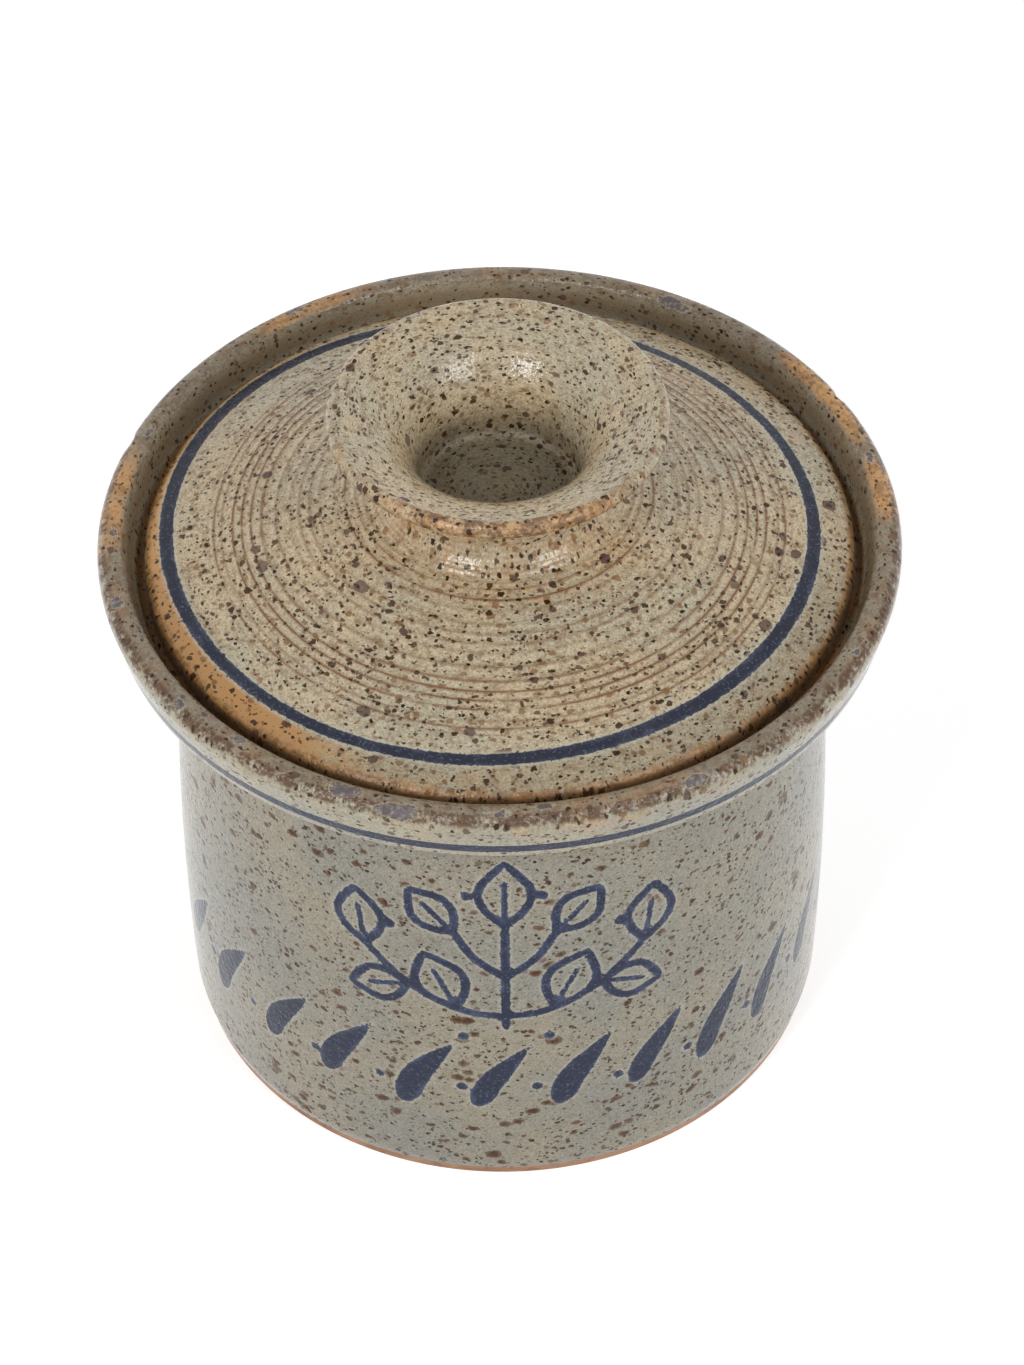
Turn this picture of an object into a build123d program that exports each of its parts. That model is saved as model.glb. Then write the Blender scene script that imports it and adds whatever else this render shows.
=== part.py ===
from build123d import *
import os
from math import atan2, ceil, copysign, cos, degrees, hypot, pi, radians, sin, tan

# Lidded stoneware crock for keeping bacon grease, thrown on a wheel in two pieces.
#
#   crock   floor, wall, overhanging flange and the gallery that the lid drops into
#   lid     shallow cone with a flat seat, throwing rings and a hollow trumpet knob
#
# Each piece is one closed outline turned about the Z axis.  Outlines are drawn as
# (radius, height) in the XZ half-plane.  The origin is the middle of the foot, on the
# surface that the crock stands on.  All sizes are in millimetres.

# ---- crock: heights ----
CROCK_HEIGHT = 107.5          # foot to the crest of the rim
FLOOR_THICKNESS = 6.5         # floor, between the trimmed recess and the inside
FOOT_RECESS = 2.5             # depth of the recess trimmed under the foot
HEEL_HEIGHT = 4.0             # height at which the heel runs out into the wall
BELLY_HEIGHT = 34.0           # height of the fullest part of the wall

# ---- crock: widths ----
SHOULDER_RADIUS = 56.4        # outside of the wall, where it meets the flange
BELLY_BULGE = 2.5             # how far the belly stands out past the shoulder
HEEL_BULGE = 1.9              # how far the heel stands out past the shoulder
HEEL_INSET = 1.7              # how far the foot stands in from the heel
WALL = 5.0                    # at the shoulder; the bore is straight, so thicker below
FOOT_RING_WIDTH = 9.0         # flat ring that the crock stands on
RECESS_SLOPE_WIDTH = 1.2      # how far the side of the recess leans inwards

# ---- crock: flange ----
LEDGE_WIDTH = 12.1            # ledge that carries the lid, from the mouth outwards
GALLERY_DEPTH = 8.3           # crest of the rim to the ledge
RIM_THICKNESS = 6.5           # fully rounded rim, between the gallery and the outside
COLLAR_HEIGHT = 12.8          # lower edge of the flange, below the crest of the rim
COLLAR_LEAN = 3.4             # how far this edge stands in from the widest point
UNDERSIDE_SLOPE = 22.0        # degrees that the underside falls towards the wall

# ---- lid: disc ----
LID_CLEARANCE = 1.5           # gap between the lid's edge and the gallery
LID_EDGE = 4.9                # height of the edge, from the seat to the cone
LID_SLOPE = 18.0              # degrees that the cone rises towards the knob
LID_WALL = 5.4                # clay under the cone, measured upright
SEAT_WIDTH = 7.0              # flat ring that lies on the ledge
SEAT_STEP_WIDTH = 1.4         # how far the step inside the seat leans inwards
CEILING_RADIUS = 28.0         # flat middle of the underside, under the knob

# ---- lid: throwing rings, shallow hollows with a fine crest between each two ----
RING_COUNT = 5
RING_PITCH = 3.2              # from one crest to the next
RING_DEPTH = 0.25             # deepest part of a hollow, under its two crests
RING_MARGIN = 5.6             # plain cone between the neck and the first crest

# ---- lid: hollow knob ----
KNOB_RADIUS = 29.4            # outer edge of the lip
KNOB_HEIGHT = 17.0            # top of the lip, above the foot of the neck
NECK_RADIUS = 19.6            # waist under the lip, outside
NECK_WALL = 4.1               # thickness of the neck
BELL_SLOPE = 20.0             # degrees that the bell of the knob rises to its lip
LIP_THICKNESS = 3.2           # fully rounded lip
CAVITY_DEPTH = 16.9           # top of the lip to the floor inside the knob

# ---- rounded corners ----
FLAT_TURN = 50.0              # most degrees that one flat of a rounded corner turns by
INNER_FLOOR_ROUND = 5.5
COVE_ROUND = 6.0              # hollow corner between the wall and the flange
COLLAR_ROUND = 2.8            # lower edge of the flange
LID_EDGE_ROUND = 2.6
NECK_ROUND = 5.5              # foot of the neck, where it runs out over the cone
BELL_UNDER_ROUND = 5.0        # hollow corner between the neck and the bell
THROAT_ROUND = 6.0
CAVITY_ROUND = 2.6            # around the floor inside the knob

# ---- sizes that follow ----
LEDGE_Z = CROCK_HEIGHT - GALLERY_DEPTH            # the ledge, and the lid's seat on it
INNER_FLOOR_Z = FOOT_RECESS + FLOOR_THICKNESS
MOUTH_RADIUS = SHOULDER_RADIUS - WALL
GALLERY_RADIUS = MOUTH_RADIUS + LEDGE_WIDTH
RIM_RADIUS = GALLERY_RADIUS + RIM_THICKNESS
LID_RADIUS = GALLERY_RADIUS - LID_CLEARANCE
LID_EDGE_Z = LEDGE_Z + LID_EDGE
THROAT_RADIUS = NECK_RADIUS - NECK_WALL


def cone_z(radius):
    """Height of the lid's sloping top at a radius."""
    return LID_EDGE_Z + (LID_RADIUS - radius) * tan(radians(LID_SLOPE))


def arc_flats(centre, radius, start, sweep):
    """Points along an arc, as sharp corners; the angles are in degrees."""
    steps = ceil(abs(sweep) / FLAT_TURN)
    points = []
    for step in range(steps + 1):
        angle = radians(start + sweep * step / steps)
        points.append((centre[0] + radius * cos(angle), centre[1] + radius * sin(angle)))
    return [(point, 0) for point in points]


def corner_flats(before, corner, after, rounding):
    """Flats that round a corner; the shorter of its two sides limits the rounding."""
    back = (before[0] - corner[0], before[1] - corner[1])
    ahead = (after[0] - corner[0], after[1] - corner[1])
    heading = atan2(back[1], back[0])
    opening = (atan2(ahead[1], ahead[0]) - heading + pi) % (2 * pi) - pi
    half_turn = (pi - abs(opening)) / 2
    setback = min(rounding * tan(half_turn), 0.95 * min(hypot(*back), hypot(*ahead)))
    radius = setback / tan(half_turn)
    middle = heading + opening / 2
    reach = hypot(radius, setback)
    centre = (corner[0] + reach * cos(middle), corner[1] + reach * sin(middle))
    side = copysign(half_turn, opening)
    return arc_flats(centre, radius, degrees(middle + pi + side), degrees(-2 * side))


def towards(start, end, share):
    """Point that lies some share of the way from one point to another."""
    return (start[0] + (end[0] - start[0]) * share, start[1] + (end[1] - start[1]) * share)


def softened(corners):
    """Points of an outline whose corners are ((radius, height), rounding).

    A rounding of 0 leaves its corner sharp.  Two roundings that meet on one side of the
    outline share that side in proportion to their sizes.
    """
    sharp = [corners[0]]
    neighbours = zip(corners, corners[1:], corners[2:])
    for (before, last), (corner, rounding), (after, following) in neighbours:
        if rounding:
            back = towards(corner, before, rounding / (rounding + last))
            ahead = towards(corner, after, rounding / (rounding + following))
            sharp += corner_flats(back, corner, ahead, rounding)
        else:
            sharp.append((corner, 0))
    sharp.append(corners[-1])
    return [point for point, _ in sharp]


def turned(outline):
    """Turn an outline, drawn as (radius, height), into a solid about the Z axis."""
    return revolve(Plane.XZ * make_face(outline), Axis.Z)


def crock():
    """Straight-sided pot with a slight belly, a galleried flange and a trimmed foot."""
    heel = (SHOULDER_RADIUS + HEEL_BULGE, HEEL_HEIGHT)
    belly = (SHOULDER_RADIUS + BELLY_BULGE, BELLY_HEIGHT)
    foot_edge = (heel[0] - HEEL_INSET, 0)
    recess_edge = (foot_edge[0] - FOOT_RING_WIDTH, 0)
    recess_corner = (recess_edge[0] - RECESS_SLOPE_WIDTH, FOOT_RECESS)

    # The flange hangs out over the wall, and its face leans in towards the lower edge.
    collar_edge = (RIM_RADIUS - COLLAR_LEAN, CROCK_HEIGHT - COLLAR_HEIGHT)
    fall = (collar_edge[0] - SHOULDER_RADIUS) * tan(radians(UNDERSIDE_SLOPE))
    shoulder = (SHOULDER_RADIUS, collar_edge[1] - fall)
    cove = corner_flats(belly, shoulder, collar_edge, COVE_ROUND)
    wall_top = cove[0][0]

    # The rim's section is a half circle, and the gallery drops straight from its inside.
    rim_round = RIM_THICKNESS / 2
    rim_middle = (RIM_RADIUS - rim_round, CROCK_HEIGHT - rim_round)

    upper = softened([
        *cove,
        (collar_edge, COLLAR_ROUND),
        *arc_flats(rim_middle, rim_round, 0, 180),
        ((GALLERY_RADIUS, LEDGE_Z), 0),
        ((MOUTH_RADIUS, LEDGE_Z), 0),
        ((MOUTH_RADIUS, INNER_FLOOR_Z), INNER_FLOOR_ROUND),
        ((0, INNER_FLOOR_Z), 0),
        ((0, FOOT_RECESS), 0),
    ])
    outline = Polyline((0, FOOT_RECESS), recess_corner, recess_edge, foot_edge, heel)
    outline += ThreePointArc(heel, belly, wall_top)
    outline += Polyline(*upper)
    return turned(outline)


def throwing_rings():
    """Hollows of two flats each, from the outermost crest on the cone to the innermost."""
    corners = []
    for ring in range(RING_COUNT, -1, -1):
        crest = NECK_RADIUS + RING_MARGIN + ring * RING_PITCH
        corners.append(((crest, cone_z(crest)), 0))
        if ring > 0:
            hollow = crest - RING_PITCH / 2
            corners.append(((hollow, cone_z(hollow) - RING_DEPTH), 0))
    return corners


def lid():
    """Cone with a flat seat, throwing rings and a hollow knob that opens like a bell."""
    seat_inner = (LID_RADIUS - SEAT_WIDTH, LEDGE_Z)
    step_radius = seat_inner[0] - SEAT_STEP_WIDTH
    step = (step_radius, cone_z(step_radius) - LID_WALL)
    ceiling = (CEILING_RADIUS, cone_z(CEILING_RADIUS) - LID_WALL)
    neck_foot = (NECK_RADIUS, cone_z(NECK_RADIUS))

    # The bell rises at one slope, above and below, and a rounded lip joins the two.
    lip_round = LIP_THICKNESS / 2
    knob_top_z = neck_foot[1] + KNOB_HEIGHT
    lip_middle = (KNOB_RADIUS - lip_round, knob_top_z - lip_round)
    lip = arc_flats(lip_middle, lip_round, BELL_SLOPE - 90, 180 - BELL_SLOPE)
    under, crest = lip[0][0], lip[-1][0]
    rise = tan(radians(BELL_SLOPE))
    waist = (NECK_RADIUS, under[1] - (under[0] - NECK_RADIUS) * rise)
    throat = (THROAT_RADIUS, crest[1] - (crest[0] - THROAT_RADIUS) * rise)
    cavity_z = knob_top_z - CAVITY_DEPTH

    return turned(Polyline(*softened([
        ((0, ceiling[1]), 0),
        (ceiling, 0),
        (step, 0),
        (seat_inner, 0),
        ((LID_RADIUS, LEDGE_Z), 0),
        ((LID_RADIUS, LID_EDGE_Z), LID_EDGE_ROUND),
        *throwing_rings(),
        (neck_foot, NECK_ROUND),
        (waist, BELL_UNDER_ROUND),
        *lip,
        (throat, THROAT_ROUND),
        ((THROAT_RADIUS, cavity_z), CAVITY_ROUND),
        ((0, cavity_z), 0),
        ((0, ceiling[1]), 0),
    ])))


os.makedirs("parts", exist_ok=True)
export_step(crock(), "parts/crock.step")
export_step(lid(), "parts/lid.step")
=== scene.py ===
"""A lidded stoneware grease crock: thrown forms, speckled glaze, brushed cobalt, studio."""

import logging
import math
from dataclasses import dataclass, replace
from enum import Enum
from typing import Any, Callable, Iterable

import bpy
import numpy as np
from mathutils import Matrix, Vector


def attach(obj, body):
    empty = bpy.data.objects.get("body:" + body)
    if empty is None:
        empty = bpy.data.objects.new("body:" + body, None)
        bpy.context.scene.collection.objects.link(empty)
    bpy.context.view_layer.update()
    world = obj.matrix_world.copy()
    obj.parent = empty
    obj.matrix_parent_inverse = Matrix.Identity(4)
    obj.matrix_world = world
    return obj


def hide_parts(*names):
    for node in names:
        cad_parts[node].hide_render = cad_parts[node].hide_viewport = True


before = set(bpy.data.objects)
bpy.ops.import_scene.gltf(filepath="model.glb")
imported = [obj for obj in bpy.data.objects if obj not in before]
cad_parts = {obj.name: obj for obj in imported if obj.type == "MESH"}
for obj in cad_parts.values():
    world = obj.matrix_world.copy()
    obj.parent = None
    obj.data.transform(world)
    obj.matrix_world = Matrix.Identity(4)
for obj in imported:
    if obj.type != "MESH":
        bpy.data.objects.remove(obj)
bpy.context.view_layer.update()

MM = 0.001
FAR = -3.0      # depth, in millimetres, of whatever lies well outside a brush mark or a scar
WHITE = (1.0, 1.0, 1.0, 1.0)
MIDDLE = Vector((0, 0, 0.07))       # what the lights are aimed at
LOG = logging.getLogger("crock")

Rgb = tuple[int, int, int]
Point = tuple[float, float]
Triple = tuple[float, float, float]


class Surface(Enum):
    """What covers a stretch of a turned outline."""

    GLAZED = 0.0
    BARE = 1.0


class Operation(Enum):
    """The operations of Math and Vector Math nodes that are in use."""

    ADD = "ADD"
    SUBTRACT = "SUBTRACT"
    MULTIPLY = "MULTIPLY"
    POWER = "POWER"
    MAXIMUM = "MAXIMUM"


def linear(colour: Rgb) -> tuple[float, ...]:
    """Turns a screen colour into the linear one, with an alpha of 1, that shaders use."""
    shares = [value / 255 for value in colour]
    return *(s / 12.92 if s <= 0.04045 else ((s + 0.055) / 1.055) ** 2.4 for s in shares), 1.0


def only(thing: bpy.types.Object) -> None:
    """Makes one object the only selected one, and the active one.

    Args:
        thing: The object.
    """
    bpy.ops.object.select_all(action="DESELECT")
    thing.select_set(True)
    bpy.context.view_layer.objects.active = thing


def store(thing: bpy.types.Object, name: str, values: Iterable[float]) -> None:
    """Keeps one value for each point of a mesh, under a name."""
    attribute = thing.data.attributes.new(name, "FLOAT", "POINT")
    attribute.data.foreach_set("value", np.array(values, np.float32))


def ease(values: Any, start: float, end: float) -> Any:
    """Rises smoothly from 0 to 1 as values go from start to end, which may be lower."""
    share = np.clip((values - start) / (end - start), 0, 1)
    return share * share * (3 - 2 * share)


# ---- shader maths ----


def operator(operation: Operation, swapped: bool = False) -> Callable[["Wire", Any], "Wire"]:
    """Makes an operator of Wire; swapped puts the other value on the left."""

    def lay(wire: "Wire", other: Any) -> "Wire":
        """Lays the operator's Math node."""
        return wire.bench.maths(operation, *((other, wire) if swapped else (wire, other)))

    return lay


class Wire:
    """A value on its way between nodes; Python's operators on it lay Math nodes."""

    def __init__(self, bench: "Bench", socket: bpy.types.NodeSocket) -> None:
        """Keeps the bench that the value is on, and its output socket."""
        self.bench = bench
        self.socket = socket

    __add__, __radd__ = operator(Operation.ADD), operator(Operation.ADD, True)
    __sub__, __rsub__ = operator(Operation.SUBTRACT), operator(Operation.SUBTRACT, True)
    __mul__, __rmul__ = operator(Operation.MULTIPLY), operator(Operation.MULTIPLY, True)
    __pow__ = operator(Operation.POWER)


class Bench:
    """The node tree of a material or a world, and the ways of laying nodes in it."""

    NOISE_GAIN = 2.4    # brings the swing of a noise to about 1

    def __init__(self, owner: bpy.types.Material | bpy.types.World) -> None:
        """Clears the nodes of a material or a world.

        Args:
            owner: The material or the world.
        """
        owner.use_nodes = True
        self.kind = type(owner).__name__
        self.tree = owner.node_tree
        self.tree.nodes.clear()

    def node(self, kind: str, inputs: dict[Any, Any] | None = None,
             **settings: Any) -> bpy.types.Node:
        """Adds one node.

        Args:
            kind: The node's type.
            inputs: Values or wires for its sockets, by name or number.
            settings: Its settings, which are set first.

        Returns:
            The node.
        """
        node = self.tree.nodes.new(kind)
        for key, value in settings.items():
            setattr(node, key, value)
        for key, value in (inputs or {}).items():
            if isinstance(value, Wire):
                self.tree.links.new(value.socket, node.inputs[key])
            else:
                node.inputs[key].default_value = value
        return node

    def wire(self, node: bpy.types.Node, output: Any = 0) -> Wire:
        """Gives one output of a node, by name or number."""
        return Wire(self, node.outputs[output])

    def out(self, kind: str, inputs: dict[Any, Any] | None = None, output: Any = 0,
            **settings: Any) -> Wire:
        """Adds one node and gives one of its outputs."""
        return self.wire(self.node(kind, inputs, **settings), output)

    def end(self, factor: Wire, first: Wire, second: Wire) -> None:
        """Mixes two shaders by a factor and sends them to the tree's output."""
        mixed = self.out("ShaderNodeMixShader", {0: factor, 1: first, 2: second})
        self.node(f"ShaderNodeOutput{self.kind}", {"Surface": mixed})

    def maths(self, operation: Operation, *values: Any) -> Wire:
        """Adds a Math node on wires or numbers."""
        return self.out("ShaderNodeMath", dict(enumerate(values)), operation=operation.value)

    def vector(self, operation: Operation, *values: Any) -> Wire:
        """Adds a Vector Math node on wires or triples of numbers."""
        inputs = dict(enumerate(values))
        return self.out("ShaderNodeVectorMath", inputs, operation=operation.value)

    def highest(self, first: Any, second: Any) -> Wire:
        """The larger of two values."""
        return self.maths(Operation.MAXIMUM, first, second)

    def step(self, value: Wire, start: float, end: float) -> Wire:
        """Rises smoothly from 0 to 1 as a value goes from start to end, which may be lower."""
        inputs = {"Value": value, "From Min": start, "From Max": end}
        return self.out("ShaderNodeMapRange", inputs, "Result", interpolation_type="SMOOTHSTEP")

    def mix(self, factor: Any, first: Any, second: Any, blend: str = "MIX") -> Wire:
        """Mixes two colours; the factor is the share of the second one."""
        inputs = {0: factor, 6: first, 7: second}
        return self.out("ShaderNodeMix", inputs, 2, data_type="RGBA", blend_type=blend)

    def tint(self, factor: Any, colour: Any, paint: Rgb) -> Wire:
        """Lays a screen colour over a colour."""
        return self.mix(factor, colour, linear(paint))

    def times(self, first: Any, second: Any) -> Wire:
        """Multiplies two colours."""
        return self.mix(1.0, first, second, "MULTIPLY")

    def parts(self, vector: Wire) -> tuple[Wire, ...]:
        """Takes a vector or a colour apart."""
        node = self.node("ShaderNodeSeparateXYZ", {0: vector})
        return tuple(self.wire(node, number) for number in range(3))

    def place(self) -> Wire:
        """Place on the object, in millimetres."""
        metres = self.out("ShaderNodeTexCoord", output="Object")
        return self.vector(Operation.MULTIPLY, metres, (1 / MM, 1 / MM, 1 / MM))

    def painted(self, name: str) -> Wire:
        """A value that the mesh carries on its points."""
        return self.out("ShaderNodeAttribute", output="Fac", attribute_name=name)

    def cloud(self, place: Wire, size: float, detail: float = 2.0,
              roughness: float = 0.5, output: str = "Fac") -> Wire:
        """Soft noise about 0.5; its size is a blotch and the gap beside it, in millimetres."""
        inputs = {"Vector": place, "Scale": 1 / size, "Detail": detail,
                  "Roughness": roughness}
        return self.out("ShaderNodeTexNoise", inputs, output)

    def patches(self, place: Wire, size: float, detail: float, roughness: float,
                start: float, end: float) -> Wire:
        """Patches cut out of a cloud: 0 where it is below start, 1 where it is above end."""
        return self.step(self.cloud(place, size, detail, roughness), start, end)

    def dragged(self, place: Wire, amount: float) -> Wire:
        """Lifts a place by its distance from the Z axis, so patterns follow the turning."""
        x, y, _ = self.parts(place)
        return self.vector(Operation.ADD, place, self.out(
            "ShaderNodeCombineXYZ", {2: (x * x + y * y) ** 0.5 * amount}))

    def shaken(self, place: Wire, size: float, amount: float) -> Wire:
        """Moves a place about in waves of a size, so that what is drawn on it is irregular."""
        waves = self.vector(Operation.SUBTRACT, self.cloud(place, size, 1.0, output="Color"),
                            (0.5,) * 3)
        return self.vector(Operation.ADD, place, self.vector(
            Operation.MULTIPLY, waves, (self.NOISE_GAIN * amount,) * 3))


# ---- the glazes ----


@dataclass(frozen=True)
class Speckle:
    """Specks of one kind that come through a glaze; lengths are in millimetres."""

    colour: Rgb
    spacing: float
    radius: float
    softness: float
    offset: float
    strength: float = 1.0
    clumping: float = 0.0
    squash: Triple = (1.0, 1.0, 1.0)

    def mask(self, bench: Bench, place: Wire) -> Wire:
        """Lays the nodes that say where the specks are.

        Args:
            bench: The material's bench.
            place: Place on the object, in millimetres, already shaken.

        Returns:
            1 in a speck and 0 outside.
        """
        shift = (self.offset, 0.7 * self.offset, 1.3 * self.offset)
        squashed = bench.vector(Operation.MULTIPLY, place, self.squash)
        moved = bench.vector(Operation.ADD, squashed, shift)
        inputs = {"Vector": moved, "Scale": 1 / self.spacing, "Randomness": 1.0}
        cells = bench.node("ShaderNodeTexVoronoi", inputs, feature="F1")
        _, size, tone = bench.parts(bench.wire(cells, "Color"))
        reach = self.radius * (0.35 + 1.1 * size * size)
        if self.clumping:
            crowd = bench.patches(moved, 9.0, 1.0, 0.5, 0.36, 0.64)
            reach = reach * (1 - self.clumping + 2 * self.clumping * crowd)
        depth = reach - bench.wire(cells, "Distance") * self.spacing
        inside = bench.step(depth, -self.softness, self.softness)
        return inside * (self.strength * (0.75 + 0.25 * tone))


@dataclass(frozen=True)
class StonewareGlaze:
    """Grey-tan stoneware glaze over iron-bearing clay, with cobalt painted on it.

    A wall that ends at wall_top has specks of its own. Everything from the collar up is painted
    lighter, fading out down the top of the wall: painted light that makes up for the shade under
    the overhanging flange. Lengths are in millimetres.
    """

    name: str
    grey: Rgb
    tan: Rgb
    mottle: Rgb
    mottling: float
    grain: float
    specks: tuple[Speckle, ...]
    wall_specks: tuple[Speckle, ...] = ()
    wall_top: float = 0.0
    # painted light: how far below wall_top the lighter collar fades out, and how much lighter it
    # is painted
    collar_fade: float = 7.0
    collar_gain: Triple = (1.35, 1.34, 1.27)
    drag: float = 1.1
    relief: float = 0.12
    glassy_ior: float = 1.45
    dull_ior: float = 1.27
    halo_strength: float = 0.50
    halo: Rgb = (190, 186, 168)
    cobalt: Rgb = (40, 46, 68)
    cobalt_thin: Rgb = (72, 80, 108)
    cobalt_pale: Rgb = (112, 122, 130)
    flash: Rgb = (200, 150, 92)
    breaking: Rgb = (88, 60, 37)
    line: Rgb = (112, 78, 50)
    iron: Rgb = (112, 92, 68)
    # how much painted shade darkens a colour
    pooled: Triple = (0.44, 0.43, 0.41)
    scar: Rgb = (90, 82, 84)
    scar_lip: Rgb = (206, 192, 166)
    clay: Rgb = (184, 140, 106)
    rust: Rgb = (148, 100, 68)

    def ground(self, bench: Bench, place: Wire) -> Wire:
        """Lays the glaze without specks: cool where it lies thick, tan where thin.

        Args:
            bench: The material's bench.
            place: Place on the object, in millimetres, drawn out around the axis.

        Returns:
            The colour.
        """
        thin = bench.patches(place, 24.0, 3.0, 0.55, 0.36, 0.66)
        colour = bench.tint(thin, linear(self.grey), self.tan)
        blotch = bench.patches(place, 2.2, 4.0, 0.7, 0.48, 0.70)
        colour = bench.tint(blotch * self.mottling, colour, self.mottle)
        fine = bench.patches(place, 0.8, 3.0, 0.6, 0.50, 0.70)
        colour = bench.tint(fine * (0.8 * self.mottling), colour, self.mottle)
        grain = bench.patches(place, 0.42, 2.0, 0.65, 0.30, 0.70)
        low, high = 1 - self.grain, 1 + 0.9 * self.grain
        shade = bench.mix(grain, (low, low, 0.98 * low, 1), (high, high, high, 1))
        return bench.times(colour, shade)

    def speckled(self, bench: Bench, place: Wire, colour: Wire, specks: Iterable[Speckle],
                 share: Any) -> tuple[Wire, Wire]:
        """Lays specks over a colour.

        Args:
            bench: The material's bench.
            place: Place on the object, in millimetres.
            colour: What the specks lie on.
            specks: The kinds of speck.
            share: How much of them shows.

        Returns:
            The speckled colour, and 1 inside a speck.
        """
        shaken = bench.shaken(bench.shaken(place, 1.5, 0.40), 0.5, 0.24)
        covered = 0.0
        for speck in specks:
            mask = speck.mask(bench, shaken) * share
            colour = bench.tint(mask, colour, speck.colour)
            covered = bench.highest(mask, covered)
        return colour, covered

    def fired(self, bench: Bench, colour: Wire, edge: Wire, ragged: Wire, patchy: Wire,
              soft: Wire) -> Wire:
        """Lays the browns of the kiln: iron, flashes, breaking edges and ring crests.

        Args:
            bench: The material's bench.
            colour: What they lie on.
            edge: How sharp an edge each place is on.
            ragged: Fine noise.
            patchy: Broad noise.
            soft: Noise that is drawn out around the axis.

        Returns:
            The colour.
        """
        colour = bench.tint(bench.painted("iron"), colour, self.iron)
        flash = bench.painted("flash")
        burnt = bench.step(flash + (patchy + soft * 0.6 + ragged * 0.6 - 1.1) * 1.5, 0.10, 1.15)
        colour = bench.tint(burnt * bench.step(flash, 0.0, 0.3), colour, self.flash)
        broken = edge * bench.step(soft * 0.6 + ragged * 0.7 + edge * 0.10, 0.60, 0.82)
        crest = bench.painted("crest") * bench.step(patchy + ragged * 0.5, 0.44, 0.80)
        return bench.tint(crest, bench.tint(broken, colour, self.breaking), self.line)

    def brushed(self, bench: Bench, place: Wire, colour: Wire) -> tuple[Wire, Wire]:
        """Lays the cobalt over a colour, with the pale edge that it draws round itself.

        Args:
            bench: The material's bench.
            place: Place on the object, in millimetres.
            colour: What the cobalt lies on.

        Returns:
            The painted colour, and 1 inside the cobalt.
        """
        depth = bench.painted("cobalt") + (bench.cloud(place, 1.1, 3.0, 0.65) - 0.5) * 0.70
        ticks = bench.patches(place, 0.55, 2.0, 0.6, 0.60, 0.70) * 0.40
        pale_edge = bench.step(depth, -0.80, -0.10) * self.halo_strength
        colour = bench.tint(pale_edge, colour, self.halo)
        load = depth * 0.55 + (bench.cloud(place, 3.6, 3.0, 0.65) - 0.5) * 1.7
        blue = bench.tint(bench.step(load, -0.30, 0.40), linear(self.cobalt_thin), self.cobalt)
        pits = bench.patches(place, 0.5, 2.0, 0.6, 0.56, 0.72)
        blue = bench.tint(pits * 0.55, blue, self.cobalt_pale)
        inside = bench.step(depth + ticks, -0.07, 0.10)
        return bench.mix(inside, colour, blue), inside

    def scarred(self, bench: Bench, place: Wire, colour: Wire) -> tuple[Wire, Wire]:
        """Lays the grey-violet patches where glaze has come off the rim.

        Args:
            bench: The material's bench.
            place: Place on the object, in millimetres.
            colour: What the patches lie on.

        Returns:
            The colour, and 1 inside a patch.
        """
        depth = bench.painted("scar") + (bench.cloud(place, 2.2, 4.0, 0.7) - 0.5) * 2.5
        patch = bench.step(depth, -0.04, 0.08)
        lip = bench.step(depth, -0.22, -0.06) * (1 - patch)
        colour = bench.tint(lip * 0.40, colour, self.scar_lip)
        pale = bench.patches(place, 0.9, 3.0, 0.6, 0.45, 0.70) * 0.35
        flesh = bench.tint(pale, linear(self.scar), self.scar_lip)
        return bench.mix(patch, colour, flesh), patch

    def material(self) -> bpy.types.Material:
        """Builds the material.

        Returns:
            The material, which reads the attributes flash, crest, edge, iron, cobalt, scar
            and bare, and the one that says where shade is painted in.
        """
        material = bpy.data.materials.new(self.name)
        bench = Bench(material)
        place = bench.place()
        thrown = bench.dragged(place, self.drag)
        ragged = bench.cloud(place, 0.9, 3.0, 0.65)
        patchy = bench.cloud(place, 7.0, 3.0, 0.6)
        soft = bench.cloud(thrown, 3.2, 3.0, 0.5)
        edge = bench.painted("edge")
        colour = self.ground(bench, thrown)
        on_wall = 0.0
        if self.wall_specks:
            _, _, height = bench.parts(place)
            on_wall = bench.step(height, self.wall_top + 1.5, self.wall_top - 1.5)
            # painted light: lightens the collar and everything above it, fading out down the top
            # of the wall, to make up for the flange's shade
            unlifted_share = bench.step(height, self.wall_top, self.wall_top - self.collar_fade)
            colour = bench.times(colour, bench.mix(unlifted_share, (*self.collar_gain, 1), WHITE))

        colour = self.fired(bench, colour, edge, ragged, patchy, soft)
        colour, dull = self.speckled(bench, thrown, colour, self.specks, 1 - on_wall)
        if self.wall_specks:
            colour, more = self.speckled(bench, place, colour, self.wall_specks, on_wall)
            dull = bench.highest(dull, more)
        # painted shade: darkens the colour where the mesh marks it, in the knob's hollow and at
        # the front of the lid's outer zone
        painted_shade = bench.painted("painted_shade")
        colour = bench.mix(painted_shade, colour, bench.times(colour, (*self.pooled, 1)))
        colour, cobalt = self.brushed(bench, place, colour)
        colour, scar = self.scarred(bench, place, colour)
        bare = bench.step(bench.painted("bare") + (ragged - 0.5) * 0.5, 0.40, 0.60)
        clay = bench.tint(bench.step(patchy, 0.3, 0.7), linear(self.clay), self.rust)
        colour = bench.mix(bare, colour, clay)

        shine = (0.05 + 0.08 * bench.step(ragged, 0.3, 0.8) + 0.45 * bare + 0.30 * scar
                 + 0.40 * painted_shade)
        peel = bench.cloud(place, 1.6) * 1.2 + bench.cloud(place, 0.7) * 0.9
        rough = bench.cloud(place, 0.45, 2.0, 0.6) * (1.5 * edge + 0.5 * bare)
        normal = bench.out("ShaderNodeBump", {
            "Strength": 1.0, "Distance": self.relief * MM, "Height": peel + rough - 0.6 * scar})
        coats = [bench.out("ShaderNodeBsdfPrincipled", {
            "Base Color": colour, "Roughness": shine, "IOR": index, "Normal": normal})
            for index in (self.glassy_ior, self.dull_ior)]
        bench.end(bench.highest(cobalt, dull), *coats)
        return material


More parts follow.
